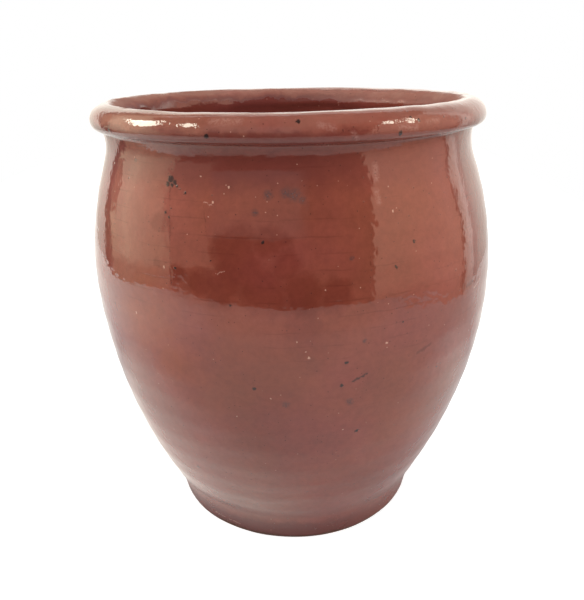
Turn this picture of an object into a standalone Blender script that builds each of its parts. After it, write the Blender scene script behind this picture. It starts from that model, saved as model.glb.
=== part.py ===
"""Preserve crock: a wheel-thrown red clay jar with a rolled rim, under one coat of lead glaze.

Run it with blender --background --python part.py, or from Blender's text editor.
Lengths are in metres, +Z is up, and the origin is the middle of the face that it stands on.
Both pieces are turned from one line, the crock's skin: the glaze coat lies just under it,
and the clay lies under the coat.
"""

import math

import bpy
from mathutils import Vector

# The crock as a whole
crock_height = 0.2400
belly_radius = 0.1140
belly_height = 0.1465

# The rolled rim: a bead with a round crown, a full outer side and a tucked-in underside
rim_radius = 0.1063
rim_crown_radius = 0.0970
rim_mouth_radius = 0.0880
rim_crown_height = 0.0085
rim_underside_height = 0.0045
rim_underside_width = 0.0034
rim_inner_lip_angle = math.radians(200)

# The neck: the crease where the rim was folded down, and the hollow that a tie goes round
crease_radius = 0.1009
crease_depth_below_top = 0.0134
neck_radius = 0.1002
neck_depth_below_top = 0.0222
neck_hollow_depth = 0.0010
neck_hollow_run = 0.0034

# The outer wall: how far the shoulder, the belly and the taper each hold their direction
shoulder_lean = math.radians(7)
shoulder_run = 0.0070
belly_run_up = 0.0365
belly_run_down = 0.0335
taper_lean = math.radians(28)
taper_run = 0.0565

# The foot: a hollow under the taper, then a short band that leans in towards the base
foot_radius = 0.0727
foot_band_height = 0.0075
foot_band_lean = math.radians(12)
foot_hollow_top_radius = 0.0789
foot_hollow_top_height = 0.0205
foot_hollow_run = 0.0036
foot_arris = 0.0010

# The inside: the wall gets thicker towards the floor, and the throat closes in to the rim
wall_thickness = 0.0070
low_wall_thickness = 0.0090
floor_thickness = 0.0105
floor_flat_radius = 0.0460
floor_corner_run = 0.0220
wall_corner_run = 0.0150
throat_run = 0.0060

# The glaze: its thickness, the gap that keeps it clear of the clay, and the wiped band
glaze_thickness = 0.0005
glaze_seat_gap = 0.0003
wiped_band_height = 0.0035

# How finely the round shapes are cut
turn_steps = 52
merge_distance = 0.00001
sharp_edge_angle = math.radians(40)

# Shares along the curves at which the inside wall has its points
low_wall_shares = (0.82, 0.64, 0.44, 0.22)
high_wall_shares = (1.0, 0.72, 0.46, 0.18)
throat_share = 0.5

# Colours as they look in daylight, as sRGB hex
clay_colour = "a06b58"
glaze_colour = "8b493a"


def direction(angle_from_up):
    """The unit step that leans outwards by this angle from straight up."""
    return Vector((math.sin(angle_from_up), math.cos(angle_from_up)))


def curve(ends, share):
    """The point at a share of the way along a cubic curve with two ends and two handles."""
    start, start_handle, end_handle, end = ends
    rest = 1 - share
    return (
        start * rest**3
        + start_handle * (3 * rest**2 * share)
        + end_handle * (3 * rest * share**2)
        + end * share**3
    )


def curve_inside(ends, share, thickness):
    """The point that lies a wall's thickness inside the outer wall's curve."""
    start, start_handle, end_handle, end = ends
    rest = 1 - share
    run = (
        (start_handle - start) * rest**2
        + (end_handle - start_handle) * (2 * rest * share)
        + (end - end_handle) * share**2
    ).normalized()
    return curve(ends, share) + Vector((run.y, -run.x)) * thickness


def curve_points(ends, count):
    """Evenly shared points along a curve, without its first one."""
    return [curve(ends, step / count) for step in range(1, count + 1)]


def shoulder_curve():
    """The outer wall from under the neck down to the belly."""
    neck = Vector((neck_radius, crock_height - neck_depth_below_top))
    belly = Vector((belly_radius, belly_height))
    lean = direction(shoulder_lean)
    return (
        neck,
        neck + Vector((lean.x, -lean.y)) * shoulder_run,
        belly + Vector((0, belly_run_up)),
        belly,
    )


def taper_curve():
    """The outer wall from the belly down to the hollow above the foot."""
    belly = Vector((belly_radius, belly_height))
    hollow_top = Vector((foot_hollow_top_radius, foot_hollow_top_height))
    return (
        belly,
        belly - Vector((0, belly_run_down)),
        hollow_top + direction(taper_lean) * taper_run,
        hollow_top,
    )


def arc_points(middle, across, up, start_angle, end_angle, count):
    """Points along part of an ellipse, with its first one and its last."""
    points = []
    for step in range(count + 1):
        angle = start_angle + (end_angle - start_angle) * step / count
        points.append(middle + Vector((math.cos(angle) * across, math.sin(angle) * up)))
    return points


def rim_bead():
    """The rim's bead, from its inner lip over the crown to where it tucks under outside."""
    level = crock_height - rim_crown_height
    crown_foot = Vector((rim_crown_radius, level))
    tuck_middle = Vector((rim_radius - rim_underside_width, level))
    inner_half = rim_crown_radius - rim_mouth_radius
    outer_half = rim_radius - rim_crown_radius
    quarter = math.pi / 2
    inner = arc_points(crown_foot, inner_half, rim_crown_height, rim_inner_lip_angle, quarter, 5)
    outer = arc_points(crown_foot, outer_half, rim_crown_height, quarter, 0, 4)
    under = arc_points(tuck_middle, rim_underside_width, rim_underside_height, 0, -quarter, 3)
    return inner + outer[1:] + under[1:]


def inside_line():
    """The skin inside, from the middle of the floor up to just under the rim's bead."""
    floor_edge = Vector((floor_flat_radius, floor_thickness))
    thickening = low_wall_thickness - wall_thickness
    low_wall = [
        curve_inside(taper_curve(), share, wall_thickness + thickening * share)
        for share in low_wall_shares
    ]
    high_wall = [curve_inside(shoulder_curve(), share, wall_thickness) for share in high_wall_shares]
    wall_way = (low_wall[1] - low_wall[0]).normalized()
    corner = (
        floor_edge,
        floor_edge + Vector((floor_corner_run, 0)),
        low_wall[0] - wall_way * wall_corner_run,
        low_wall[0],
    )
    throat_way = (high_wall[-1] - high_wall[-2]).normalized()
    bead = rim_bead()
    bead_way = (bead[1] - bead[0]).normalized()
    throat = (
        high_wall[-1],
        high_wall[-1] + throat_way * throat_run,
        bead[0] - bead_way * throat_run,
        bead[0],
    )
    points = [Vector((0, floor_thickness)), floor_edge]
    points += curve_points(corner, 4)
    points += low_wall[1:]
    points += high_wall
    points.append(curve(throat, throat_share))
    return points


def neck_line():
    """The crease under the bead and the hollow below it, down to the shoulder."""
    crease = Vector((crease_radius, crock_height - crease_depth_below_top))
    neck = Vector((neck_radius, crock_height - neck_depth_below_top))
    lean = direction(shoulder_lean)
    hollow = (
        crease,
        crease - Vector((neck_hollow_depth, neck_hollow_run)),
        neck + Vector((-lean.x, lean.y)) * neck_hollow_run,
        neck,
    )
    return [crease] + curve_points(hollow, 3)


def foot_line():
    """The hollow above the foot and the foot's band, down to where the glaze was wiped off."""
    hollow_top = Vector((foot_hollow_top_radius, foot_hollow_top_height))
    lean = direction(foot_band_lean)
    base = Vector((foot_radius, 0))
    band_top = base + lean * (foot_band_height / lean.y)
    wiped = base + lean * (wiped_band_height / lean.y)
    hollow = (
        hollow_top,
        hollow_top - direction(taper_lean) * foot_hollow_run,
        band_top + lean * foot_hollow_run,
        band_top,
    )
    return curve_points(hollow, 3) + [wiped]


def skin_line():
    """The whole skin as (radius, height), from the floor inside, over the rim, to the foot."""
    points = inside_line() + rim_bead() + neck_line()
    points += curve_points(shoulder_curve(), 5)
    points += curve_points(taper_curve(), 6)
    points += foot_line()
    return points


def sunk_line(points, depth):
    """The line that lies under the skin by an even depth, measured square to the skin."""
    ways = [(after - before).normalized() for before, after in zip(points, points[1:])]
    sunk = []
    for place, point in enumerate(points):
        before = ways[max(place - 1, 0)]
        after = ways[min(place, len(ways) - 1)]
        middle = (before + after).normalized()
        square = Vector((middle.y, -middle.x))
        reach = depth / middle.dot(before)
        sunk.append(point + square * reach)
    return sunk


def glaze_line():
    """The coat's outline: the skin from the floor to the foot, and back along its underside."""
    skin = skin_line()
    return skin + list(reversed(sunk_line(skin, glaze_thickness)))


def clay_line():
    """The clay's outline: the line under the glaze, then the bare foot and the flat base."""
    points = sunk_line(skin_line(), glaze_thickness + glaze_seat_gap)
    foot_side = Vector((points[-1].x, foot_arris))
    points.append(foot_side)
    points.append(Vector((foot_side.x - foot_arris, 0)))
    points.append(Vector((0, 0)))
    return points


def linear_colour(srgb_hex):
    """An sRGB hex colour as the linear red, green, blue and alpha that a shader takes."""
    levels = [int(srgb_hex[start : start + 2], 16) / 255 for start in (0, 2, 4)]
    linear = [
        level / 12.92 if level <= 0.04045 else ((level + 0.055) / 1.055) ** 2.4
        for level in levels
    ]
    return (*linear, 1.0)


def finish(name, srgb_hex, roughness):
    """A plain, unmetallic material."""
    material = bpy.data.materials.new(name)
    material.use_nodes = True
    shader = material.node_tree.nodes["Principled BSDF"]
    shader.inputs["Base Color"].default_value = linear_colour(srgb_hex)
    shader.inputs["Roughness"].default_value = roughness
    shader.inputs["Metallic"].default_value = 0.0
    material.diffuse_color = linear_colour(srgb_hex)
    return material


def turned(name, outline, material, collection):
    """A solid turned on the Z axis from an outline that runs down its outer side."""
    mesh = bpy.data.meshes.new(name)
    corners = [(point.x, 0, point.y) for point in outline]
    edges = [(place, place + 1) for place in range(len(corners) - 1)]
    mesh.from_pydata(corners, edges, [])
    mesh.materials.append(material)
    piece = bpy.data.objects.new(name, mesh)
    collection.objects.link(piece)
    screw = piece.modifiers.new("Turn", "SCREW")
    screw.axis = "Z"
    screw.angle = math.tau
    screw.steps = turn_steps
    screw.render_steps = turn_steps
    screw.use_merge_vertices = True
    screw.merge_threshold = merge_distance
    screw.use_smooth_shade = True
    return piece


def settle_shape(piece):
    """Applies the turning, so that the shading can be set on the finished faces."""
    seen = piece.evaluated_get(bpy.context.evaluated_depsgraph_get())
    mesh = bpy.data.meshes.new_from_object(seen)
    mesh.name = piece.name
    piece.modifiers.clear()
    piece.data = mesh
    mesh.shade_smooth()
    mesh.set_sharp_from_angle(angle=sharp_edge_angle)


for leftover in list(bpy.data.objects):
    bpy.data.objects.remove(leftover)

crock = bpy.data.collections.new("preserve_crock")
bpy.context.scene.collection.children.link(crock)

clay_body = turned("clay_body", clay_line(), finish("fired red clay", clay_colour, 0.85), crock)
glaze_coat = turned("glaze_coat", glaze_line(), finish("lead glaze", glaze_colour, 0.12), crock)
settle_shape(clay_body)
settle_shape(glaze_coat)
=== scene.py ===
import math

import bpy
import numpy as np
from mathutils import Matrix, Vector


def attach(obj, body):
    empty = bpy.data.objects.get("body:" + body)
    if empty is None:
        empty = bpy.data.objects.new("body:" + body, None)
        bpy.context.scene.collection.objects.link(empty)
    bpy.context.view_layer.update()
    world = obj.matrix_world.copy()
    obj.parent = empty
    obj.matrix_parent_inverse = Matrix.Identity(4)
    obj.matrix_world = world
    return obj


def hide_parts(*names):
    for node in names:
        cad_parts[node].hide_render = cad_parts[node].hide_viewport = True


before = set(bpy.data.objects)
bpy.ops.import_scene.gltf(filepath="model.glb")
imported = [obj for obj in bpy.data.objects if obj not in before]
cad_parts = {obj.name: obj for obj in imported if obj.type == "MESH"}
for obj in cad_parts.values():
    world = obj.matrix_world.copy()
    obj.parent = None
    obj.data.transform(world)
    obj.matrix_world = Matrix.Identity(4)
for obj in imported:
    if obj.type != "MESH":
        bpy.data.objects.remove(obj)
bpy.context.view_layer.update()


# Clay body
# The pot itself: one lump of red earthenware, thrown on a wheel, its rim folded down and
# rolled, its foot trimmed and its underside cut from the wheel with a wire. It was fired bare
# first, so all of it shows the clay's sandy skin wherever the glaze was wiped off.

crock_height = 0.2400
belly_radius = 0.1132
belly_height = 0.1480

rim_radius = 0.1063
rim_crown_radius = 0.0970
rim_mouth_radius = 0.0880
rim_crown_height = 0.0085
rim_underside_height = 0.0043
rim_underside_width = 0.0034
rim_lip_turn = 200

crease_radius = 0.1006
crease_depth_below_top = 0.0133
neck_radius = 0.1000
neck_depth_below_top = 0.0241
neck_hollow_depth = 0.0010
neck_hollow_run = 0.0036
fold_run = 0.0010
fold_turn = (0.0006, 0.0002)

shoulder_lean = 7
shoulder_run = 0.0070
belly_run_up = 0.0375
belly_run_down = 0.0345
taper_lean = 28
taper_run = 0.0565

foot_radius = 0.0727
foot_band_height = 0.0075
foot_band_lean = 12
foot_hollow_top_radius = 0.0789
foot_hollow_top_height = 0.0205
foot_hollow_run = 0.0034
foot_arris = 0.0010

wall_thickness = 0.0070
low_wall_thickness = 0.0090
floor_thickness = 0.0105
floor_flat_radius = 0.0460
floor_corner_run = 0.0220
floor_corner_rise = 0.0130
inner_wall_foot = 0.0360
inner_wall_top = 0.2165
throat_run = 0.0060

glaze_thickness = 0.0005
wiped_band_height = 0.0030
bare_band_height = 0.0060
bare_inset_share = 0.9
foot_lap = 0.0035
under_hollow = 0.0004
under_hollow_limit = 0.0012
under_middle = 0.0005


def point(radius, height):
    return np.array([radius, height])


def leaning(degrees):
    """The unit step that leans outwards by this angle from straight up."""
    return point(math.sin(math.radians(degrees)), math.cos(math.radians(degrees)))


def curve(start, start_handle, end_handle, end, count=80):
    share = np.linspace(0, 1, count)[:, None]
    rest = 1 - share
    return (
        start * rest**3
        + 3 * start_handle * rest**2 * share
        + 3 * end_handle * rest * share**2
        + end * share**3
    )


def ellipse(middle, across, up, start_degrees, end_degrees, count=60):
    turn = np.radians(np.linspace(start_degrees, end_degrees, count))[:, None]
    return middle + np.hstack([across * np.cos(turn), up * np.sin(turn)])


def spaced(line, spacing):
    """The same line with its points an even distance apart."""
    along = np.r_[0, np.cumsum(np.hypot(*np.diff(line, axis=0).T))]
    count = max(int(round(along[-1] / spacing)), 1) + 1
    even = np.linspace(0, along[-1], count)
    return np.column_stack([np.interp(even, along, line[:, 0]), np.interp(even, along, line[:, 1])])


def joined(*lines):
    kept = [lines[0]] + [line[1:] for line in lines[1:]]
    return np.vstack(kept)


neck = point(neck_radius, crock_height - neck_depth_below_top)
belly = point(belly_radius, belly_height)
hollow_top = point(foot_hollow_top_radius, foot_hollow_top_height)
shoulder_way = leaning(shoulder_lean) * (1, -1)
shoulder = curve(neck, neck + shoulder_way * shoulder_run, belly + point(0, belly_run_up), belly)
taper = curve(
    belly, belly - point(0, belly_run_down), hollow_top + leaning(taper_lean) * taper_run, hollow_top
)
outer_wall = joined(shoulder, taper)

# The foot: a trimmed hollow, then a short band that leans in to the base.
band_way = leaning(foot_band_lean)
foot_edge = point(foot_radius, 0)
band_top = foot_edge + band_way * (foot_band_height / band_way[1])
foot_hollow = curve(
    hollow_top,
    hollow_top - leaning(taper_lean) * foot_hollow_run,
    band_top + band_way * foot_hollow_run,
    band_top,
    30,
)

# The rim: a round crown and full outer side, with the underside tucked in where it was folded.
crown_middle = point(rim_crown_radius, crock_height - rim_crown_height)
tuck_middle = point(rim_radius - rim_underside_width, crown_middle[1])
rim_bead = joined(
    ellipse(
        crown_middle, rim_crown_radius - rim_mouth_radius, rim_crown_height, rim_lip_turn, 90
    ),
    ellipse(crown_middle, rim_radius - rim_crown_radius, rim_crown_height, 90, 0),
    ellipse(tuck_middle, rim_underside_width, rim_underside_height, 0, -90),
)
crease = point(crease_radius, crock_height - crease_depth_below_top)
neck_hollow = joined(
    curve(
        rim_bead[-1],
        rim_bead[-1] - point(fold_run, 0),
        crease + fold_turn,
        crease,
        12,
    ),
    curve(
        crease,
        crease - point(neck_hollow_depth, neck_hollow_run),
        neck - shoulder_way * neck_hollow_run,
        neck,
        24,
    ),
)

# The inside follows the outer wall, and the wall gets thicker towards the floor.
wall_run = np.gradient(outer_wall, axis=0)
wall_run /= np.hypot(*wall_run.T)[:, None]
inward = np.column_stack([wall_run[:, 1], -wall_run[:, 0]])
lowness = np.clip((belly_height - outer_wall[:, 1]) / belly_height, 0, 1)[:, None]
inner_wall = outer_wall + inward * (wall_thickness + (low_wall_thickness - wall_thickness) * lowness)
reached = (outer_wall[:, 1] > inner_wall_foot) & (outer_wall[:, 1] < inner_wall_top)
inner_wall = inner_wall[reached][::-1]
floor_edge = point(floor_flat_radius, floor_thickness)
low_way = inner_wall[3] - inner_wall[0]
low_way /= np.hypot(*low_way)
throat_way = inner_wall[-1] - inner_wall[-4]
throat_way /= np.hypot(*throat_way)
floor_line = joined(
    np.array([[0, floor_thickness], floor_edge]),
    curve(
        floor_edge,
        floor_edge + (floor_corner_run, 0),
        inner_wall[0] - low_way * floor_corner_rise,
        inner_wall[0],
    ),
)
throat = curve(
    inner_wall[-1],
    inner_wall[-1] + throat_way * throat_run,
    rim_bead[0] - point(0, throat_run),
    rim_bead[0],
    30,
)

# Rows along the skin, closest on the rim and in its crease, where the shape turns fastest.
skin_line = joined(
    spaced(floor_line, 0.0034),
    spaced(inner_wall, 0.0028),
    spaced(joined(throat, rim_bead), 0.0009),
    spaced(neck_hollow, 0.0006),
    spaced(outer_wall, 0.0020),
    spaced(foot_hollow, 0.0011),
    spaced(np.array([band_top, foot_edge + band_way * (wiped_band_height / band_way[1])]), 0.0008),
)


def smoothed(line, rounds):
    """Eases the corners where two curves meet, and keeps the ends."""
    line = line.copy()
    for _ in range(rounds):
        line[1:-1] = line[1:-1] * 0.5 + (line[:-2] + line[2:]) * 0.25
    return line


skin_line = smoothed(skin_line, 2)
skin_line[0, 0] = 0


def squares(line):
    """At each point of a line, the unit step square to it, outwards from the pot's clay."""
    run = np.gradient(line, axis=0)
    run /= np.hypot(*run.T)[:, None]
    return np.column_stack([-run[:, 1], run[:, 0]])


def ripple(around, along, wavelength, seed, stretch=1.0):
    """Soft uneven waves, mostly under one high, which join up around the pot."""
    chance = np.random.default_rng(seed)
    total = 0
    for _ in range(30):
        way = chance.uniform(0, math.tau)
        number = math.tau / wavelength * chance.uniform(0.6, 1.5)
        turns = round(number * math.cos(way) * rim_crown_radius / stretch)
        total = total + np.cos(
            turns * around + number * math.sin(way) * along + chance.uniform(0, math.tau)
        )
    return total / 7.0


def bell(value, middle, width):
    return np.exp(-(((value - middle) / width) ** 2))


# What the potter's hands and the kiln did to the turned form.
finger_ridge, finger_spacing = 0.00022, 0.0086
rib_ridge, rib_spacing = 0.00006, 0.0140
ridge_wander = 0.0016
# how deep the dents are, how long, the seed of their draws and how far they stretch around
dents = ((0.00018, 0.110, 7, 1.4), (0.00007, 0.050, 11, 1.0), (0.000022, 0.022, 13, 1.0))
rim_lumps = 0.00010
crease_press, crease_press_change = 0.00012, 0.00010
rim_sag, rim_wave, rim_ripple = 0.00030, 0.00018, 0.00008
lean_out, lean_height, lean_spread, lean_back = 0.00095, 0.105, 0.055, 0.00040
mouth_oval = 0.0012
top_clearance = 0.00005


def thrown(line, outward, around, along):
    """Puts a turned line around the wheel's axis with the unevenness that hands gave the pot.

    The clay and the glaze both pass through here, so the coat stays on the clay.
    """
    radius, height = line[:, :1], line[:, 1:]
    along = along[:, None]
    outside = along > rim_top_along
    broad = np.clip(radius / 0.03, 0, 1)
    # fingers raised a spiral of low ridges, plain inside and nearly smoothed away outside
    wander = ridge_wander * ripple(around, along, 0.060, 3)
    inner_rings = finger_ridge * np.sin(math.tau * (along + wander) / finger_spacing + around)
    outer_rings = rib_ridge * np.sin(math.tau * (along + wander) / rib_spacing + around)
    push = np.where(outside, outer_rings, inner_rings) * (along < foot_along)
    # long dents and swellings from lifting, then shorter ones from the rib and the kiln
    for depth, length, seed, stretch in dents:
        push = push + depth * ripple(around, along, length, seed, stretch)
    # the rolled rim is lumpier, and its crease is pressed in unevenly
    on_rim = bell(along, rim_top_along, 0.018)
    push = push + on_rim * rim_lumps * ripple(around, along, 0.016, 17, 1.6)
    push = push - bell(along, crease_along, 0.0014) * (
        crease_press + crease_press_change * ripple(around, 0 * along, 0.024, 19)
    )
    push = push * broad
    radius = radius + outward[:, :1] * push
    height = height + outward[:, 1:] * push
    # the rim is level within half a millimetre, and the wall leans a little to and fro
    rise = np.clip((height - 0.19) / 0.05, 0, 1)
    height = height - rise * (rim_sag + rim_wave * np.cos(2 * around + 0.6))
    height = height + rise * rim_ripple * ripple(around, 0 * along, 0.050, 23)
    lean = lean_out * bell(height, lean_height, lean_spread)
    lean = lean - lean_back * np.clip((height - 0.17) / 0.05, 0, 1)
    oval = 1 + mouth_oval * np.clip(height / crock_height, 0, 1) * np.cos(2 * around - 1.2)
    return np.stack(
        [
            radius * oval * np.sin(around) + lean,
            -radius * oval * np.cos(around) + 0.4 * lean,
            np.clip(height + 0 * around, 0, crock_height - top_clearance),
        ],
        axis=-1,
    )


skin_along = np.r_[0, np.cumsum(np.hypot(*np.diff(skin_line, axis=0).T))]
rim_top_along = skin_along[np.argmax(skin_line[:, 1])]
crease_along = skin_along[np.argmin(np.hypot(*(skin_line - crease).T))]
foot_along = skin_along[np.argmin(np.hypot(*(skin_line - hollow_top).T))] + 0.004


def turned_piece(name, rings, first_middle, last_middle, material):
    """A mesh of rings of points, closed by a middle point at the start, the end or both."""
    count, columns = rings.shape[:2]
    corners = [tuple(corner) for corner in rings.reshape(-1, 3)]
    place = np.arange(columns)
    onward = (place + 1) % columns
    faces = []
    for row in range(count - 1):
        here, there = row * columns, (row + 1) * columns
        faces += np.column_stack([here + place, there + place, there + onward, here + onward]).tolist()
    if first_middle is not None:
        corners.append(first_middle)
        faces += np.column_stack([place, onward, np.full(columns, len(corners) - 1)]).tolist()
    if last_middle is not None:
        corners.append(last_middle)
        last = (count - 1) * columns
        middle = np.full(columns, len(corners) - 1)
        faces += np.column_stack([last + onward, last + place, middle]).tolist()
    mesh = bpy.data.meshes.new(name)
    mesh.from_pydata(corners, [], faces)
    mesh.materials.append(material)
    mesh.shade_smooth()
    piece = bpy.data.objects.new(name, mesh)
    bpy.context.scene.collection.objects.link(piece)
    return piece


def linear(srgb_hex):
    """An sRGB hex colour as the linear colour that a shader takes."""
    levels = [int(srgb_hex[start : start + 2], 16) / 255 for start in (0, 2, 4)]
    made = [
        level / 12.92 if level <= 0.04045 else ((level + 0.055) / 1.055) ** 2.4 for level in levels
    ]
    return (*made, 1.0)


def add(tree, kind, inputs=None, stops=None, **settings):
    """Adds a shader node of this kind with its settings, and links or sets its inputs."""
    node = tree.nodes.new("ShaderNode" + kind)
    for name, value in settings.items():
        setattr(node, name, value)
    if stops:
        ramp = node.color_ramp.elements
        while len(ramp) < len(stops):
            ramp.new(1.0)
        for element, (position, colour) in zip(ramp, stops):
            element.position = position
            element.color = colour if isinstance(colour, tuple) else (colour, colour, colour, 1)
    for name, value in (inputs or {}).items():
        if isinstance(value, bpy.types.Node):
            value = next(socket for socket in value.outputs if socket.enabled)
        if isinstance(value, bpy.types.NodeSocket):
            tree.links.new(value, node.inputs[name])
        else:
            node.inputs[name].default_value = value
    return node


def per_mm(millimetres):
    """A texture scale at which one cell of the pattern is this many millimetres."""
    return 1000 / millimetres


def per_band(millimetres):
    """A wave texture's scale at which one band is this many millimetres."""
    return per_mm(millimetres) * math.tau / 20


# Fired red earthenware: matt, sandy to the touch, with grog and iron showing as specks. The
# wire that cut it from the wheel left drawn-out arcs across the underside.
clay = bpy.data.materials.new("bare fired red earthenware")
clay.use_nodes = True
tree = clay.node_tree
shader = tree.nodes["Principled BSDF"]
where = add(tree, "TexCoord").outputs["Object"]
patches = add(tree, "TexNoise", {"Vector": where, "Scale": per_mm(14), "Detail": 4, "Roughness": 0.6})
body_colour = add(
    tree,
    "ValToRGB",
    {"Fac": patches},
    stops=((0.30, linear("8c5a49")), (0.52, linear("a06b58")), (0.72, linear("b27d69"))),
)
grains = add(tree, "TexVoronoi", {"Vector": where, "Scale": per_mm(1.6)})
grain_shade = add(tree, "ValToRGB", {"Fac": grains}, stops=((0.10, 0.0), (0.26, 1.0)))
speckled = add(tree, "Mix", {0: grain_shade, 6: linear("6b3a2c"), 7: body_colour}, data_type="RGBA")
# painted shade darkens the bare band above its lowest millimetre, standing for the table's shadow round
# the foot, and the underside keeps the clay's own colour
height_up = add(tree, "SeparateXYZ", {"Vector": where}).outputs["Z"]
painted_foot_shade = add(tree, "MapRange", {"Value": height_up, "From Min": 0.0, "From Max": 0.0010, "To Max": 0.85})
foot_shaded_colour = add(tree, "Mix", {0: painted_foot_shade, 6: speckled, 7: linear("54362d")}, data_type="RGBA")
wire_way = add(tree, "Mapping", {"Vector": where, "Rotation": (0, 0, 0.5), "Scale": (1, 0.28, 1)})
wire_marks = add(
    tree,
    "TexWave",
    {"Vector": wire_way, "Scale": per_band(5.712), "Distortion": 3.5, "Detail": 3, "Detail Scale": 1.4},
)
# the sandy skin is drawn at 0.9 mm, coarser than real sand, so that it shows
sand = add(tree, "TexNoise", {"Vector": where, "Scale": per_mm(0.9), "Detail": 3})
wire_bump = add(tree, "Bump", {"Height": wire_marks, "Strength": 0.5, "Distance": 0.0005})
sand_bump = add(tree, "Bump", {"Height": sand, "Strength": 0.6, "Distance": 0.0004, "Normal": wire_bump})
tree.links.new(foot_shaded_colour.outputs[2], shader.inputs["Base Color"])
tree.links.new(sand_bump.outputs["Normal"], shader.inputs["Normal"])
shader.inputs["Roughness"].default_value = 0.82
shader.inputs["IOR"].default_value = 1.5

clay_columns = 240
around = np.linspace(0, math.tau, clay_columns, endpoint=False)[None, :]
clay_skin = skin_line[::2].copy()
clay_along = skin_along[::2]
clay_square = squares(clay_skin)
clay_top = thrown(clay_skin - clay_square * glaze_thickness, clay_square, around, clay_along)
arris_top = foot_edge + band_way * foot_arris
bare_band = spaced(np.array([foot_edge + band_way * bare_band_height, arris_top]), 0.0006)
arris = ellipse(arris_top - point(foot_arris, 0), foot_arris, foot_arris, 0, -90, 6)
bare_foot = joined(bare_band, arris)
bare_square = squares(bare_foot)
bare_along = np.full(len(bare_foot), skin_along[-1])
bare_line = bare_foot - bare_square * glaze_thickness * bare_inset_share
foot_rings = thrown(bare_line, bare_square, around, bare_along)
# the underside rises a little and unevenly towards its middle, inside the ring that it stands on
under_rings = []
for share in np.linspace(0.97, 0.04, 26):
    ring = foot_rings[-1] * share
    lift = under_hollow * (1 - share) * (1 + 0.5 * ripple(around[0], 0.0, 0.030, 29))
    ring[:, 2] = np.clip(lift, 0, under_hollow_limit) * min(1, (1 - share) / 0.10)
    under_rings.append(ring)
hidden = clay_top[: np.argmax(clay_along > skin_along[-1] - foot_lap)]
clay_rings = np.concatenate([hidden[1:], foot_rings, np.array(under_rings)])
floor_middle = (0.0, 0.0, float(hidden[0, 0, 2]))
clay_body = turned_piece("crock_clay_body", clay_rings, floor_middle, (0.0, 0.0, under_middle), clay)
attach(clay_body, "root")
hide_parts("clay_body")


# Glaze coat
# Lead glaze, dipped over the fired clay inside and out and wiped off the foot before the second firing.
# It melted to a clear brown glass that is pale where it ran thin on the rim and dark where it pooled in
# the crease, with iron specks and grit caught in it. Painted shade darkens it further inside, under the
# rolled rim, in the crease and on the foot band.

glaze_columns = 336
edge_wander, edge_jitter, edge_reach = 0.0009, 0.0003, 0.006
roll_radius = glaze_thickness * 0.75

around = np.linspace(0, math.tau, glaze_columns, endpoint=False)[None, :]
skin_square = squares(skin_line)
edge_drop = edge_wander * ripple(around, 0.0, 0.034, 31) + edge_jitter * ripple(around, 0.0, 0.009, 37)
glaze_rings = thrown(skin_line, skin_square, around, skin_along)
lip_share = np.clip((skin_along - skin_along[-1] + edge_reach) / edge_reach, 0, 1)[:, None, None]
slide = np.stack(
    [
        band_way[0] * np.sin(around) * edge_drop,
        -band_way[0] * np.cos(around) * edge_drop,
        band_way[1] * edge_drop,
    ],
    axis=-1,
)
glaze_rings = glaze_rings + lip_share**2 * slide
# the coat's lower edge rolls in onto the clay
roll_in = []
for turn in (30, 60, 90, 120):
    inwards = roll_radius * (1 - math.cos(math.radians(turn)))
    down = roll_radius * math.sin(math.radians(turn))
    ring = glaze_rings[-1].copy()
    ring[:, 0] -= np.sin(around[0]) * inwards
    ring[:, 1] += np.cos(around[0]) * inwards
    ring[:, 2] -= down
    roll_in.append(ring)
glaze_rings = np.concatenate([glaze_rings, np.array(roll_in)])

# The camera's place, because some marks in the glaze are set where the photograph shows them.
camera_place = Vector((0.0, -0.3738, 0.2625))
camera_pitch = math.radians(20.915)
camera_roll = math.radians(-1.077)
camera_focus = 648.06
frame_width, frame_height = 584, 600

forward = Vector((0, math.cos(camera_pitch), -math.sin(camera_pitch)))
level_up = Vector((0, math.sin(camera_pitch), math.cos(camera_pitch)))
level_right = Vector((1, 0, 0))
camera_right = level_right * math.cos(camera_roll) + level_up * math.sin(camera_roll)
camera_up = level_up * math.cos(camera_roll) - level_right * math.sin(camera_roll)

outer_side = skin_line[skin_along >= rim_top_along][::-1]


def seen_at(across, down):
    """The place on the outer skin that lies behind this pixel of the photograph."""
    way = (
        forward * camera_focus
        + camera_right * (across - frame_width / 2)
        - camera_up * (down - frame_height / 2)
    ).normalized()
    nearest, farthest, step = 0.15, 0.60, 0.0001
    steps = np.arange(nearest, farthest, step)[:, None]
    places = np.array(camera_place) + steps * np.array(way)
    reach = np.interp(places[:, 2], outer_side[:, 1], outer_side[:, 0], left=-1, right=-1)
    lean = lean_out * bell(places[:, 2], lean_height, lean_spread)
    inside = np.hypot(places[:, 0] - lean, places[:, 1]) < reach
    return Vector(places[np.argmax(inside)])


glaze = bpy.data.materials.new("clear brown lead glaze over red clay")
glaze.use_nodes = True
tree = glaze.node_tree
shader = tree.nodes["Principled BSDF"]
where = add(tree, "TexCoord").outputs["Object"]


def at(along):
    """How far along the skin a place lies, from the middle of the floor, 0, to the foot, 1."""
    return float(along / skin_along[-1])


def past(place, *rows):
    """A ramp's stops, from rows of a distance past this place on the skin and the value there."""
    return tuple((at(place + distance), value) for distance, value in rows)


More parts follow.
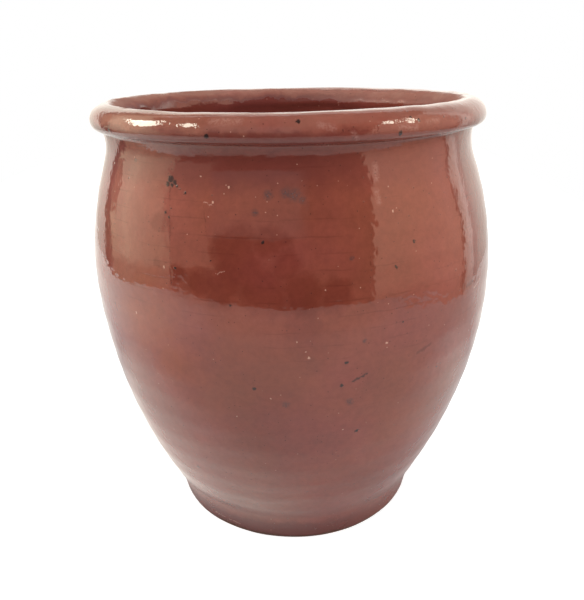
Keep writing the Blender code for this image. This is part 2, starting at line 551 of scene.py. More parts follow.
# The skin's own measure, shaken a little so that no edge that follows it is ruled straight.
skin_place = add(tree, "Attribute", attribute_name="skin_place").outputs["Fac"]
shake = add(tree, "TexNoise", {"Vector": where, "Scale": per_mm(11), "Detail": 5, "Roughness": 0.6})
shaken = add(tree, "Math", {0: shake, 1: at(0.012), 2: skin_place}, operation="MULTIPLY_ADD")
shaken = add(tree, "Math", {0: shaken, 1: at(0.006)}, operation="SUBTRACT")
place = add(tree, "SeparateXYZ", {"Vector": where})
sideways, upright = place.outputs["X"], place.outputs["Z"]
lip_widening = add(
    tree,
    "MapRange",
    {"Value": sideways, "From Min": -0.004, "From Max": 0.034, "To Max": at(0.0024)},
    interpolation_type="SMOOTHSTEP",
)
lip_place = add(tree, "Math", {0: lip_widening, 1: shaken}, operation="ADD")

# The glass takes its red brown from the clay below it, in soft clouds a few centimetres wide.
clouds = add(tree, "TexNoise", {"Vector": where, "Scale": per_mm(38), "Detail": 5, "Roughness": 0.55})
cloud_colour = add(
    tree,
    "ValToRGB",
    {"Fac": clouds},
    stops=((0.32, linear("834336")), (0.50, linear("8b473a")), (0.68, linear("944d40"))),
)
fine_clouds = add(tree, "TexNoise", {"Vector": where, "Scale": per_mm(3), "Detail": 6, "Roughness": 0.7})
fine_shade = add(tree, "ValToRGB", {"Fac": fine_clouds}, stops=((0.34, 0.90), (0.66, 1.07)))
colour = add(
    tree, "Mix", {0: 1.0, 6: cloud_colour, 7: fine_shade}, data_type="RGBA", blend_type="MULTIPLY"
)

# Iron and ash tint the glass towards tan in some broad patches and towards mauve in others.
tints = add(tree, "TexNoise", {"Vector": where, "Scale": per_mm(55), "Detail": 3, "Roughness": 0.5})
tints = add(
    tree,
    "ValToRGB",
    {"Fac": tints},
    stops=(
        (0.36, (1.03, 1.08, 0.98, 1.0)), (0.50, (1.0, 1.0, 1.0, 1.0)), (0.64, (0.99, 0.95, 1.08, 1.0))
    ),
)
colour = add(tree, "Mix", {0: 1.0, 6: colour, 7: tints}, data_type="RGBA", blend_type="MULTIPLY")

# The rib left fine level lines every 7 mm or so, which hold a darker thread of glaze.
level_lines = add(
    tree,
    "TexWave",
    {
        "Vector": where,
        "Scale": per_band(7.0),
        "Distortion": 1.1,
        "Detail": 3,
        "Detail Scale": 1.2,
        "Detail Roughness": 0.6,
    },
    bands_direction="Z",
)
thread = add(tree, "ValToRGB", {"Fac": level_lines}, stops=((0.0, 1.0), (0.035, 0.0)))
breaks = add(tree, "TexNoise", {"Vector": where, "Scale": per_mm(20), "Detail": 3})
broken = add(tree, "ValToRGB", {"Fac": breaks}, stops=((0.48, 0.0), (0.62, 0.30)))
ribbed = add(
    tree,
    "MapRange",
    {"Value": upright, "From Min": 0.120, "From Max": 0.165, "To Min": 0.30, "To Max": 1.0},
)
thread = add(tree, "Math", {0: thread, 1: broken}, operation="MULTIPLY")
thread = add(tree, "Math", {0: thread, 1: ribbed}, operation="MULTIPLY")
colour = add(tree, "Mix", {0: thread, 6: colour, 7: linear("5d2a20")}, data_type="RGBA")

# Inside, the glaze lies thicker and looks darker; it pooled in the crease and thinned on the lip. The
# same dark mix is also painted shade inside, most just under the lip, under the rolled rim, below the
# crease and on the foot band, with less of it towards the right.
pooled_glaze_and_shade = add(
    tree,
    "ValToRGB",
    {"Fac": shaken},
    stops=(
        (0.0, 0.35),
        *past(rim_top_along, (-0.0300, 0.35), (-0.0140, 0.55), (-0.0098, 0.85), (-0.0076, 0.0)),
        *past(crease_along, (-0.0106, 0.0), (-0.0084, 0.62), (-0.0040, 0.50), (-0.0012, 0.05)),
        *past(crease_along, (0.0012, 0.05), (0.0050, 0.55), (0.0130, 0.50), (0.0220, 0.0)),
        *past(foot_along, (0.0012, 0.0), (0.0064, 0.75)),
        (1.0, 0.85),
    ),
)
pooled_and_shade_by_side = add(
    tree,
    "MapRange",
    {"Value": sideways, "From Min": 0.010, "From Max": 0.055, "To Min": 1.0, "To Max": 0.35},
)
pooled_glaze_and_shade = add(tree, "Math", {0: pooled_glaze_and_shade, 1: pooled_and_shade_by_side}, operation="MULTIPLY")
colour = add(tree, "Mix", {0: pooled_glaze_and_shade, 6: colour, 7: linear("642d2b")}, data_type="RGBA")
thin = add(
    tree,
    "ValToRGB",
    {"Fac": lip_place},
    stops=(
        *past(rim_top_along, (-0.0098, 0.0), (-0.0068, 0.55), (-0.0020, 0.60)),
        *past(rim_top_along, (0.0030, 0.40), (0.0120, 0.30), (0.0150, 0.0)),
    ),
)
thin_patches = add(tree, "TexNoise", {"Vector": where, "Scale": per_mm(17), "Detail": 4})
thin_patches = add(tree, "ValToRGB", {"Fac": thin_patches}, stops=((0.35, 0.45), (0.62, 1.0)))
thin = add(tree, "Math", {0: thin, 1: thin_patches}, operation="MULTIPLY")
colour = add(tree, "Mix", {0: thin, 6: colour, 7: linear("a27565")}, data_type="RGBA")

# Iron in the clay bled through as fine dark specks, and grains of grit show pale.
def sown(way, spacing, stops, share):
    """Spots, one in each cell of this spacing, of which only a share is kept."""
    cells = add(tree, "TexVoronoi", {"Vector": way, "Scale": per_mm(spacing)})
    spots = add(tree, "ValToRGB", {"Fac": cells}, stops=stops)
    chance = add(tree, "SeparateColor", {"Color": cells.outputs["Color"]})
    picked = add(tree, "Math", {0: chance, 1: share}, operation="LESS_THAN")
    return add(tree, "Math", {0: spots, 1: picked}, operation="MULTIPLY")


specks = sown(where, 2.6, ((0.060, 0.85), (0.130, 0.0)), 0.42)
colour = add(tree, "Mix", {0: specks, 6: colour, 7: linear("3d1c17")}, data_type="RGBA")
grain_way = add(tree, "Mapping", {"Vector": where, "Location": (0.31, 0.17, 0.23)})
grains = sown(grain_way, 4.4, ((0.035, 0.7), (0.085, 0.0)), 0.30)
colour = add(tree, "Mix", {0: grains, 6: colour, 7: linear("cf9c86")}, data_type="RGBA")

# The larger marks, where the photograph shows them: pixels across and down, then millimetres.
iron_blots = (
    (171, 179, 1.9), (168, 184, 1.5), (175, 182, 1.5), (172, 185, 1.1), (177, 186, 0.7),
    (180, 189, 0.4), (166, 212, 1.0), (169, 217, 0.7), (171, 208, 0.5), (185, 193, 0.8),
    (206, 136, 1.2), (109, 130, 1.1), (298, 121, 1.2), (400, 133, 1.3), (411, 117, 0.7),
    (419, 120, 1.0), (444, 117, 0.5), (453, 108, 0.5), (466, 118, 0.7), (263, 242, 0.9),
    (175, 268, 0.8), (211, 261, 0.5), (414, 241, 0.8), (396, 267, 1.0), (347, 363, 1.1),
    (342, 386, 1.2), (370, 386, 0.6), (254, 389, 1.1), (357, 431, 1.0), (435, 409, 0.7),
    (437, 367, 0.7), (198, 467, 0.7), (163, 423, 0.6), (230, 306, 0.7), (403, 322, 0.7),
    (356, 349, 0.4), (285, 441, 0.4), (383, 471, 0.5), (129, 178, 0.4), (310, 214, 0.4),
)
grit_grains = (
    (115, 163, 0.8), (201, 176, 0.6), (229, 187, 0.7), (136, 313, 0.9), (271, 399, 0.7),
    (237, 417, 0.6), (366, 423, 0.8), (309, 358, 1.0), (306, 352, 0.6), (213, 203, 0.9),
    (208, 217, 0.7), (164, 267, 0.8), (297, 342, 0.6), (343, 430, 0.6), (298, 454, 0.6),
    (387, 343, 0.8), (302, 181, 0.5), (393, 211, 0.7), (350, 170, 0.5), (325, 290, 0.6),
)
grey_smears = (
    (109, 129, 2.6), (136, 160, 1.6), (268, 195, 2.8), (286, 193, 3.2), (294, 195, 3.8),
    (302, 200, 2.2), (255, 213, 2.2), (286, 405, 2.4), (365, 341, 1.6), (350, 402, 2.6),
    (352, 258, 1.5),
)
# further than any mark reaches, in parts of its radius
far_off = 9.0


def torn(millimetres, detail, roughness, shift):
    """The place shaken by up to this shift, in grains of this size, to give marks torn edges."""
    grain = {"Vector": where, "Scale": per_mm(millimetres), "Detail": detail, "Roughness": roughness}
    way = {0: add(tree, "TexNoise", grain).outputs["Color"], 1: (shift, shift, shift), 2: where}
    way = add(tree, "VectorMath", way, operation="MULTIPLY_ADD")
    return add(tree, "VectorMath", {0: way, 1: (shift / 2,) * 3}, operation="SUBTRACT")


def nearer(away, millimetres, least):
    """This distance in parts of a mark's own radius, or the least so far if that is nearer."""
    share = add(tree, "Math", {0: away.outputs["Value"], 1: per_mm(millimetres)}, operation="MULTIPLY")
    return add(tree, "Math", {0: share, 1: least}, operation="MINIMUM")


def nearness(marks, way):
    """The distance to the nearest mark, in parts of that mark's own radius."""
    least = far_off
    for across, down, millimetres in marks:
        away = add(tree, "VectorMath", {0: way, 1: seen_at(across, down)}, operation="DISTANCE")
        least = nearer(away, millimetres, least)
    return least


blot_way = torn(1.5, 2, 0.5, 0.0018)
patch_way = torn(13, 5, 0.6, 0.014)


# In patches with soft torn edges the glaze is a darker, stronger red across the middle, and low on the
# left a warmer tan is a painted reflection of the window's sheen on the table.
darker_red_patches = (
    (240, 268, 15), (264, 290, 14), (224, 288, 12), (200, 282, 8), (288, 268, 9), (302, 292, 12),
    (336, 294, 9), (240, 240, 10), (161, 222, 7), (158, 262, 4), (228, 250, 10), (270, 244, 9),
    (180, 274, 6),
)
painted_warm_reflection_patches = ((148, 322, 30), (172, 362, 20))
for patches, full, tint in (
    (darker_red_patches, 0.55, (0.78, 0.66, 0.64, 1.0)),
    (painted_warm_reflection_patches, 0.25, (1.14, 1.08, 0.70, 1.0)),
):
    nearest_patch = nearness(patches, patch_way)
    share = add(tree, "ValToRGB", {"Fac": nearest_patch}, stops=((full, 1.0), (1.25, 0.0)))
    colour = add(tree, "Mix", {0: share, 6: colour, 7: tint}, data_type="RGBA", blend_type="MULTIPLY")


def along_strokes(strokes, way):
    """The distance to the nearest straight stroke, in parts of that stroke's own half width."""
    least = far_off
    for from_across, from_down, to_across, to_down, millimetres in strokes:
        start = seen_at(from_across, from_down)
        run = seen_at(to_across, to_down) - start
        off = add(tree, "VectorMath", {0: way, 1: start}, operation="SUBTRACT")
        share = add(
            tree, "VectorMath", {0: off, 1: run / run.length_squared}, operation="DOT_PRODUCT"
        ).outputs["Value"]
        share = add(tree, "Clamp", {"Value": share})
        foot = add(tree, "VectorMath", {0: run, "Scale": share}, operation="SCALE")
        away = add(tree, "VectorMath", {0: off, 1: foot}, operation="DISTANCE")
        least = nearer(away, millimetres, least)
    return least


# Scratches, the runs of iron and of grit, and pale streaks of painted highlight on the shoulder and the
# rim, by the pixels where each starts and ends.
dark_scratches = (
    (353, 382, 367, 374, 0.8), (355, 432, 359, 430, 0.5), (115, 303, 117, 310, 0.5),
    (197, 465, 200, 468, 0.5), (343, 130, 344, 133, 0.3),
)
iron_run_and_foot_shade = (
    (170, 188, 170, 236, 0.45), (170, 236, 171, 284, 0.35), (204, 206, 206, 232, 0.35),
    (370, 256, 370, 303, 0.5), (467, 286, 473, 281, 1.4), (418, 353, 431, 344, 1.2),
    # these three strokes are painted shade, a dark line along the glaze's lower edge at the foot
    (192, 494, 202, 504.5, 0.5), (202, 504.5, 219, 516.5, 0.5), (219, 516.5, 240, 526, 0.5),
)
grit_run_and_foot_highlight = (
    (204, 202, 213, 206, 0.35), (207, 208, 212, 204, 0.3), (216, 274, 226, 270, 0.3),
    # the last three strokes are a painted highlight along the glaze's lower edge at the foot
    (474, 288, 480, 278, 0.5), (193, 492, 203, 502, 0.35), (203, 502, 220, 514, 0.35),
    (220, 514, 240, 523.5, 0.35),
)
painted_highlight_streaks = (
    (375, 165, 376, 179, 2.1), (376, 190, 379, 203, 1.7), (212, 121, 238, 120, 3.0),
    (320, 125, 334, 128, 2.0), (353, 133, 357, 138, 1.5), (400, 127, 416, 127, 2.2),
    (427, 122, 438, 120, 1.6),
)
# how far out each mark is full, how strongly it shows there, and how far out it is gone
scratches, dark_runs_and_foot_shade, pale_runs_and_foot_highlight, painted_highlights, grit, smears, blots = (
    add(tree, "ValToRGB", {"Fac": distance}, stops=((full, strength), (gone, 0.0)))
    for distance, full, strength, gone in (
        (along_strokes(dark_scratches, blot_way), 0.5, 0.85, 1.2),
        (along_strokes(iron_run_and_foot_shade, blot_way), 0.3, 0.45, 1.6),
        (along_strokes(grit_run_and_foot_highlight, blot_way), 0.4, 0.45, 1.6),
        (along_strokes(painted_highlight_streaks, blot_way), 0.0, 0.28, 1.0),
        (nearness(grit_grains, blot_way), 0.35, 0.9, 0.8),
        (nearness(grey_smears, blot_way), 0.2, 0.95, 1.0),
        (nearness(iron_blots, blot_way), 0.60, 0.95, 1.10),
    )
)
# smears and the painted highlight streaks are crumbly
crumbs = add(tree, "TexNoise", {"Vector": where, "Scale": per_mm(0.9), "Detail": 2})
crumbs = add(tree, "ValToRGB", {"Fac": crumbs}, stops=((0.40, 0.25), (0.58, 0.90)))
smears = add(tree, "Math", {0: smears, 1: crumbs}, operation="MULTIPLY")
painted_highlights = add(tree, "Math", {0: painted_highlights, 1: crumbs}, operation="MULTIPLY")
for share, shade in (
    (smears, "4c3b3b"),
    (painted_highlights, "d0a498"),
    (dark_runs_and_foot_shade, "4f241d"),
    (scratches, "3a2220"),
    (pale_runs_and_foot_highlight, "d3a594"),
    (grit, "d9ab96"),
    (blots, "2b1f1e"),
):
    colour = add(tree, "Mix", {0: share, 6: colour, 7: linear(shade)}, data_type="RGBA")
tree.links.new(colour.outputs[2], shader.inputs["Base Color"])

# Gloss: bright melted glass with faintly duller patches, matt just inside the lip, and worn a
# little towards the foot and dulled by smears and specks.
dull_patches = add(
    tree, "TexNoise", {"Vector": where, "Scale": per_mm(13), "Detail": 5, "Roughness": 0.6}
)
dullness = add(tree, "ValToRGB", {"Fac": dull_patches}, stops=((0.46, 0.012), (0.72, 0.09)))
inner_lip = add(
    tree,
    "ValToRGB",
    {"Fac": lip_place},
    stops=past(rim_top_along, (-0.0118, 0.0), (-0.0100, 0.80), (-0.0035, 0.80), (-0.0006, 0.0)),
)
worn_foot = add(
    tree,
    "MapRange",
    {
        "Value": skin_place,
        "From Min": at(foot_along - 0.014),
        "From Max": at(foot_along + 0.002),
        "To Max": 0.20,
    },
)
dullness = add(tree, "Math", {0: dullness, 1: inner_lip}, operation="ADD")
dullness = add(tree, "Math", {0: dullness, 1: worn_foot}, operation="ADD")
dullness = add(tree, "Math", {0: smears, 1: 0.30, 2: dullness}, operation="MULTIPLY_ADD")
dullness = add(tree, "Math", {0: specks, 1: 0.25, 2: dullness}, operation="MULTIPLY_ADD")
tree.links.new(dullness.outputs[0], shader.inputs["Roughness"])
shader.inputs["IOR"].default_value = 1.60

# Relief: the orange peel of melted glass, grit under it, and a rougher skin on the rim.
orange_peel = add(
    tree, "TexNoise", {"Vector": where, "Scale": per_mm(5.0), "Detail": 1, "Roughness": 0.5}
)
relief = add(tree, "Bump", {"Height": orange_peel, "Strength": 0.70, "Distance": 0.00016})
ripple_noise = add(tree, "TexNoise", {"Vector": where, "Scale": per_mm(1.7), "Detail": 0})
relief = add(
    tree, "Bump", {"Height": ripple_noise, "Strength": 0.70, "Distance": 0.000040, "Normal": relief}
)
rim_share = add(
    tree,
    "ValToRGB",
    {"Fac": skin_place},
    stops=(
        *past(rim_top_along, (-0.020, 0.05), (-0.010, 1.0)),
        *past(crease_along, (-0.002, 1.0), (0.010, 0.05)),
    ),
)
rim_grain = add(tree, "TexNoise", {"Vector": where, "Scale": per_mm(1.2), "Detail": 1, "Roughness": 0.6})
rim_patches = add(tree, "TexNoise", {"Vector": where, "Scale": per_mm(9), "Detail": 3})
rim_patches = add(tree, "ValToRGB", {"Fac": rim_patches}, stops=((0.44, 0.12), (0.60, 1.0)))
rim_share = add(tree, "Math", {0: rim_share, 1: rim_patches}, operation="MULTIPLY")
rim_height = add(tree, "Math", {0: rim_grain, 1: rim_share}, operation="MULTIPLY")
relief = add(tree, "Bump", {"Height": rim_height, "Strength": 1.0, "Distance": 0.00010, "Normal": relief})
raised = add(tree, "Math", {0: specks, 1: blots}, operation="ADD")
raised = add(tree, "Math", {0: raised, 1: grit}, operation="ADD")
raised = add(tree, "Math", {0: raised, 1: grains}, operation="ADD")
relief = add(tree, "Bump", {"Height": raised, "Strength": 0.5, "Distance": 0.00010, "Normal": relief})
relief = add(
    tree, "Bump", {"Height": thread, "Strength": 0.5, "Distance": 0.00006, "Normal": relief}, invert=True
)
tree.links.new(relief.outputs["Normal"], shader.inputs["Normal"])

floor_middle = (0.0, 0.0, float(glaze_rings[0, 0, 2]))
glaze_coat = turned_piece("crock_glaze_coat", glaze_rings[1:], floor_middle, None, glaze)
# each point carries how far along the skin it lies, which the material reads
measure = np.r_[skin_along[1:], np.full(len(roll_in), skin_along[-1])] / skin_along[-1]
measure = np.r_[np.repeat(measure, glaze_columns), 0.0]
kept = glaze_coat.data.attributes.new("skin_place", "FLOAT", "POINT")
kept.data.foreach_set("value", measure.astype(np.float32))
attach(glaze_coat, "root")
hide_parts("glaze_coat")


# Floor, light and camera
# A plain white table that ends in front of the crock, a dark room beyond it, a soft window on
# the left, a paler wall on the right and small ceiling lamps. Camera rays see white all round.


def stage_piece(name, corners, faces, material):
    mesh = bpy.data.meshes.new(name)
    mesh.from_pydata(corners, [], faces)
    mesh.materials.append(material)
    piece = bpy.data.objects.new(name, mesh)
    bpy.context.scene.collection.objects.link(piece)
    return piece


def emptied(material):
    """The material's node tree, with nothing in it yet."""
    material.use_nodes = True
    material.node_tree.nodes.clear()
    return material.node_tree


def seen_rays(tree, rays):
    """One for rays that the camera or the glaze sends out, and none for light that fills."""
    seen = rays.outputs["Is Camera Ray"]
    for kind in ("Is Glossy Ray", "Is Transmission Ray"):
        seen = add(tree, "Math", {0: seen, 1: rays.outputs[kind]}, operation="MAXIMUM")
    return seen


# The camera sees a plain white table. In the glaze it shows painted light, the window's sheen on the
# left, a paler far side and a glow beside the foot, and painted shadow under the foot and towards its
# near edge.
table_paint = bpy.data.materials.new("white table")
tree = emptied(table_paint)
rays = add(tree, "LightPath")
seen = seen_rays(tree, rays)
paint = add(tree, "BsdfDiffuse", {"Color": linear("c8c8c8")})
where = add(tree, "TexCoord").outputs["Object"]
sides = add(tree, "SeparateXYZ", {"Vector": where})
window_sheen, window_reach, far_side = (
    add(
        tree,
        "MapRange",
        {"Value": sides.outputs[side], "From Min": start, "From Max": end, "To Max": level},
        interpolation_type="SMOOTHSTEP",
    )
    for side, start, end, level in (
        ("X", -0.22, -0.42, 0.62),
        ("Y", -0.50, -0.05, 1.0),
        ("Y", 0.05, 0.22, 0.40),
    )
)
sheen = add(tree, "Math", {0: window_sheen, 1: window_reach}, operation="MULTIPLY")
sheen = add(tree, "Math", {0: sheen, 1: far_side}, operation="MAXIMUM")
about = add(tree, "Mapping", {"Vector": where, "Scale": (1, 2.8, 0)})
about = add(tree, "VectorMath", {0: about}, operation="LENGTH").outputs["Value"]
about = add(tree, "MapRange", {"Value": about, "From Min": 0.40, "From Max": 0.22, "To Max": 0.52})
about_left = add(tree, "MapRange", {"Value": sides.outputs["X"], "From Min": 0.02, "From Max": -0.03})
about_right = add(tree, "MapRange", {"Value": sides.outputs["X"], "From Min": 0.10, "From Max": 0.24})
about_sides = add(tree, "Math", {0: about_left, 1: about_right}, operation="ADD")
about = add(tree, "Math", {0: about, 1: about_sides}, operation="MULTIPLY")
sheen = add(tree, "Math", {0: sheen, 1: about}, operation="MAXIMUM")
outside_painted_foot_shadow = add(tree, "VectorMath", {0: where}, operation="LENGTH").outputs["Value"]
outside_painted_foot_shadow = add(tree, "MapRange", {"Value": outside_painted_foot_shadow, "From Min": 0.0745, "From Max": 0.081})
mirrored = add(tree, "Math", {0: rays.outputs["Is Glossy Ray"], 1: sheen}, operation="MULTIPLY")
mirrored = add(tree, "Math", {0: mirrored, 1: outside_painted_foot_shadow}, operation="MULTIPLY")
near_edge = add(
    tree, "MapRange", {"Value": sides.outputs["Y"], "From Min": -0.46, "From Max": -0.30, "To Max": 0.21}
)
near_edge = add(tree, "Math", {0: near_edge, 1: outside_painted_foot_shadow}, operation="MULTIPLY")
glow_level = add(
    tree, "Math", {0: rays.outputs["Is Camera Ray"], 1: 0.73, 2: near_edge}, operation="MULTIPLY_ADD"
)
glow_level = add(tree, "Math", {0: glow_level, 1: mirrored}, operation="ADD")
glow_colour = add(
    tree, "Mix", {0: mirrored, 6: linear("ffffff"), 7: (0.95, 0.94, 0.78, 1.0)}, data_type="RGBA"
)
glow = add(tree, "Emission", {"Color": glow_colour, "Strength": glow_level})
lifted = add(tree, "AddShader", {0: paint, 1: glow})
shown = add(tree, "MixShader", {0: seen, 1: paint, 2: lifted})
add(tree, "OutputMaterial", {"Surface": shown})
stage_piece(
    "table_top",
    [
        (-0.88, -0.55, 0), (-0.62, -0.55, 0), (-0.35, -0.63, 0), (0.0, -0.68, 0), (0.27, -0.72, 0),
        (0.42, -0.53, 0), (0.55, -0.17, 0), (0.52, 0.17, 0), (0.55, 3, 0), (-0.62, 3, 0),
        (-0.66, 0.38, 0), (-0.72, 0.09, 0), (-0.82, -0.26, 0),
    ],
    [tuple(range(13))],
    table_paint,
)

world = bpy.data.worlds.new("white surroundings")
bpy.context.scene.world = world
world.use_nodes = True
tree = world.node_tree
seen = seen_rays(tree, add(tree, "LightPath"))
room = add(tree, "Mix", {0: seen, 6: linear("a9a9a9"), 7: linear("ffffff")}, data_type="RGBA")
tree.links.new(room.outputs[2], tree.nodes["Background"].inputs["Color"])

# The room is painted on a screen that only the glaze sees: a warm window on the left, the dark
# side where the camera stands, and a red brown wall on the right with a paler post.
room_paint = bpy.data.materials.new("painted room")
tree = emptied(room_paint)
where = add(tree, "TexCoord").outputs["Object"]
sides = add(tree, "SeparateXYZ", {"Vector": where})
# Bearings round the room run from 0 to 1. Its upright edges waver, and draw together as they
# rise, except in the right back corner.
front = add(tree, "Math", {0: sides.outputs["Y"], 1: -1.0}, operation="MULTIPLY")
bearing = add(tree, "Math", {0: sides.outputs["X"], 1: front}, operation="ARCTAN2")
right_back = add(tree, "Math", {0: sides.outputs["X"], 1: sides.outputs["Y"]}, operation="ADD")
leaning_in = add(
    tree,
    "MapRange",
    {"Value": right_back, "From Min": 1.30, "From Max": 1.50, "To Min": -0.20 / math.tau, "To Max": 0.0},
)
above_table = add(tree, "Math", {0: sides.outputs["Z"], 1: 0.0}, operation="MAXIMUM")
narrowing = add(
    tree, "Math", {0: above_table, 1: leaning_in, 2: 1.02 / math.tau}, operation="MULTIPLY_ADD"
)
bearing = add(tree, "Math", {0: bearing, 1: narrowing, 2: 0.5}, operation="MULTIPLY_ADD")
wobble = add(tree, "TexNoise", {"Vector": where, "Scale": per_mm(285.7), "Detail": 3})
wobble = add(tree, "Math", {0: wobble, 1: 0.020, 2: -0.010}, operation="MULTIPLY_ADD")
bearing = add(tree, "Math", {0: bearing, 1: wobble}, operation="ADD")
# degrees round from the front, positive to the right, and the light there in red, green and blue
room_sides = (
    (-180, (0.38, 0.36, 0.33)), (-152, (0.38, 0.36, 0.33)), (-142, (0.32, 0.31, 0.27)),
    (-124.4, (0.40, 0.37, 0.33)), (-123.6, (0.06, 0.05, 0.04)), (-115.6, (0.08, 0.06, 0.05)),
    (-114.8, (0.40, 0.32, 0.22)), (-104, (0.46, 0.37, 0.27)), (-98, (0.60, 0.49, 0.35)),
    (-84, (0.49, 0.40, 0.29)), (-68, (0.40, 0.31, 0.23)), (-64, (0.20, 0.13, 0.11)),
    (-50, (0.17, 0.11, 0.09)), (-40, (0.14, 0.09, 0.07)), (-39, (0.02, 0.015, 0.015)),
    (-28, (0.010, 0.008, 0.008)), (14, (0.02, 0.015, 0.012)), (40.8, (0.03, 0.02, 0.015)),
    (41.6, (0.43, 0.27, 0.20)), (72, (0.44, 0.26, 0.19)), (98, (0.40, 0.24, 0.19)),
    (101, (0.38, 0.22, 0.17)), (104, (0.38, 0.22, 0.17)), (105.2, (0.08, 0.05, 0.04)),
    (106.6, (0.08, 0.05, 0.04)), (107.3, (0.42, 0.35, 0.30)), (117.4, (0.56, 0.51, 0.47)),
    (118.8, (0.28, 0.24, 0.22)), (126, (0.34, 0.34, 0.31)), (152, (0.38, 0.36, 0.33)),
)
paint = add(
    tree,
    "ValToRGB",
    {"Fac": bearing},
    stops=tuple(((degrees + 180) / 360, (*shade, 1.0)) for degrees, shade in room_sides),
)
# the walls are dimmer near the floor and near the ceiling
rise = add(tree, "Math", {0: sides.outputs["Z"], 1: 1 / 2.2, 2: 0.25}, operation="MULTIPLY_ADD")
rise = add(
    tree,
    "ValToRGB",
    {"Fac": rise},
    stops=((0.15, 0.5), (0.22, 0.72), (0.30, 0.88), (0.42, 1.0), (0.60, 1.0), (0.80, 0.7)),
)
paint = add(tree, "Mix", {0: 1.0, 6: paint, 7: rise}, data_type="RGBA", blend_type="MULTIPLY")
# behind the crock the wall darkens a little more towards the ceiling
back = add(tree, "MapRange", {"Value": sides.outputs["Y"], "From Min": 0.60, "From Max": 0.90})
upper = add(
    tree, "MapRange", {"Value": sides.outputs["Z"], "From Min": 0.90, "From Max": 1.30, "To Max": 0.30}
)
upper = add(tree, "Math", {0: upper, 1: back}, operation="MULTIPLY")
paint = add(tree, "Mix", {0: upper, 6: paint, 7: linear("000000")}, data_type="RGBA")
# between the window and the dark side the room is dark low down, up to an uneven edge
wall_from = add(tree, "Math", {0: wobble, 1: 9.0, 2: sides.outputs["Z"]}, operation="MULTIPLY_ADD")
low_dark = add(tree, "MapRange", {"Value": wall_from, "From Min": 0.13, "From Max": 0.10})
low_left = add(tree, "MapRange", {"Value": bearing, "From Min": 0.316, "From Max": 0.319})
low_right = add(tree, "MapRange", {"Value": bearing, "From Min": 0.40, "From Max": 0.39})
for side in (low_left, low_right):
    low_dark = add(tree, "Math", {0: low_dark, 1: side}, operation="MULTIPLY")
paint = add(tree, "Mix", {0: low_dark, 6: paint, 7: (0.02, 0.015, 0.015, 1.0)}, data_type="RGBA")
# the window is dimmer towards its foot, and a dark curtain narrows its far side high up
window_foot = add(
    tree, "MapRange", {"Value": sides.outputs["Z"], "From Min": 0.06, "From Max": -0.08, "To Max": 0.50}
)
window_part = add(tree, "MapRange", {"Value": bearing, "From Min": 0.320, "From Max": 0.316})
window_foot = add(tree, "Math", {0: window_foot, 1: window_part}, operation="MULTIPLY")
window_side = add(tree, "MapRange", {"Value": bearing, "From Min": 0.178, "From Max": 0.182})
window_foot = add(tree, "Math", {0: window_foot, 1: window_side}, operation="MULTIPLY")
curtain = add(tree, "MapRange", {"Value": wall_from, "From Min": 0.20, "From Max": 0.22})
curtain_end = add(
    tree, "MapRange", {"Value": bearing, "From Min": 0.202, "From Max": 0.200, "To Max": 0.75}
)
curtain = add(tree, "Math", {0: curtain, 1: curtain_end}, operation="MULTIPLY")
curtain = add(tree, "Math", {0: curtain, 1: window_side}, operation="MULTIPLY")
window_foot = add(tree, "Math", {0: window_foot, 1: curtain}, operation="MAXIMUM")
paint = add(tree, "Mix", {0: window_foot, 6: paint, 7: (0.12, 0.06, 0.04, 1.0)}, data_type="RGBA")
# over the dark side a grey wall shows high up
wall = add(tree, "MapRange", {"Value": wall_from, "From Min": 0.40, "From Max": 0.50})
wall_left = add(tree, "MapRange", {"Value": bearing, "From Min": 0.388, "From Max": 0.392})
wall_right = add(tree, "MapRange", {"Value": bearing, "From Min": 0.525, "From Max": 0.505})
for side in (wall_left, wall_right):
    wall = add(tree, "Math", {0: wall, 1: side}, operation="MULTIPLY")
paint = add(tree, "Mix", {0: wall, 6: paint, 7: (0.07, 0.075, 0.075, 1.0)}, data_type="RGBA")
light = add(tree, "Emission", {"Color": paint, "Strength": 4.0})
add(tree, "OutputMaterial", {"Surface": light})

room_radius, room_floor, room_ceiling = 1.3, -0.5, 1.5
turns = np.radians(np.linspace(-180, 180, 73))
ring = [(room_radius * math.sin(turn), -room_radius * math.cos(turn)) for turn in turns]
corners = [(x, y, height) for height in (room_floor, room_ceiling) for x, y in ring]
count = len(ring)
faces = [(step, step + 1, count + step + 1, count + step) for step in range(count - 1)]
painted_room = stage_piece("painted_room", corners, faces, room_paint)

# A dim ceiling closes the room above the glaze's view of it.
ceiling_paint = bpy.data.materials.new("dim ceiling")
tree = emptied(ceiling_paint)
dim = add(tree, "Emission", {"Color": linear("b8a090"), "Strength": 0.38})
add(tree, "OutputMaterial", {"Surface": dim})
ceiling = stage_piece(
    "dim_ceiling",
    [(x, y, room_ceiling) for x, y in ((-1.6, -1.4), (1.6, -1.4), (1.6, 0.9), (-1.6, 0.9))],
    [(0, 3, 2, 1)],
    ceiling_paint,
)
for piece in (painted_room, ceiling):
    piece.visible_camera = False
    piece.visible_diffuse = False
    piece.visible_shadow = False


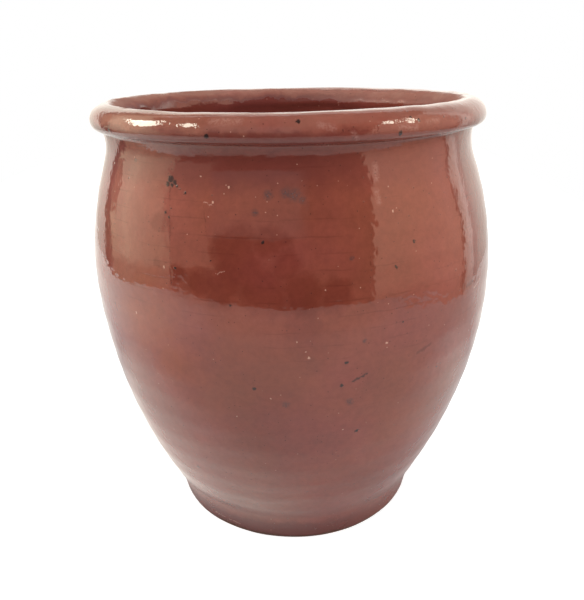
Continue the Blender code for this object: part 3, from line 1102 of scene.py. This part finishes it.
def lamp(name, bearing, elevation, distance, wide, tall, lean, strength, colour):
    """A soft rectangular lamp that faces the crock from this bearing, rolled by its lean."""
    light = bpy.data.lights.new(name, "AREA")
    light.shape = "RECTANGLE"
    light.size, light.size_y = wide, tall
    light.energy = strength * wide * tall * math.pi
    light.color = linear(colour)[:3]
    piece = bpy.data.objects.new(name, light)
    turn, rise = math.radians(bearing), math.radians(elevation)
    level = math.cos(rise)
    way = Vector((math.sin(turn) * level, -math.cos(turn) * level, math.sin(rise)))
    aim = Vector((0, 0, 0.15))
    piece.location = aim + way * distance
    piece.rotation_euler = (-way).to_track_quat("-Z", "Y").to_euler()
    piece.rotation_euler.rotate_axis("Z", math.radians(lean))
    bpy.context.scene.collection.objects.link(piece)
    piece.visible_camera = False
    return piece


# The ceiling lamps show as small bright shapes on the rim. The wide fills light the red under
# the gloss and are not mirrored in it.
for name, bearing, elevation, wide, tall, lean in (
    ("ceiling_left", -93, 37, 0.34, 0.50, 51),
    ("ceiling_left_2", -65, 42, 0.15, 0.34, 33),
    ("ceiling_right", 59, 37, 0.10, 0.25, -25),
    ("ceiling_right_2", 74.5, 36, 0.08, 0.34, -31),
):
    bright = lamp(name, bearing, elevation, 1.1, wide, tall, lean, 12.0, "fcfdea")
    bright.visible_diffuse = False
for name, bearing, elevation, strength in (
    ("front_fill", 8, 42, 2.2),
    ("left_fill", -95, 24, 5.0),
    ("left_front_fill", -60, 36, 2.2),
    ("right_fill", 72, 27, 4.8),
):
    fill = lamp(name, bearing, elevation, 1.25, 0.7, 0.7, 0, strength, "fffaf4")
    fill.visible_glossy = False

camera_data = bpy.data.cameras.new("camera")
camera_data.sensor_fit = "HORIZONTAL"
camera_data.sensor_width = 36
camera_data.lens = camera_data.sensor_width * camera_focus / frame_width
camera = bpy.data.objects.new("camera", camera_data)
axes = Matrix((camera_right, camera_up, -forward)).transposed().to_4x4()
camera.matrix_world = Matrix.Translation(camera_place) @ axes
bpy.context.scene.collection.objects.link(camera)
bpy.context.scene.camera = camera
bpy.context.scene.view_settings.view_transform = "Standard"
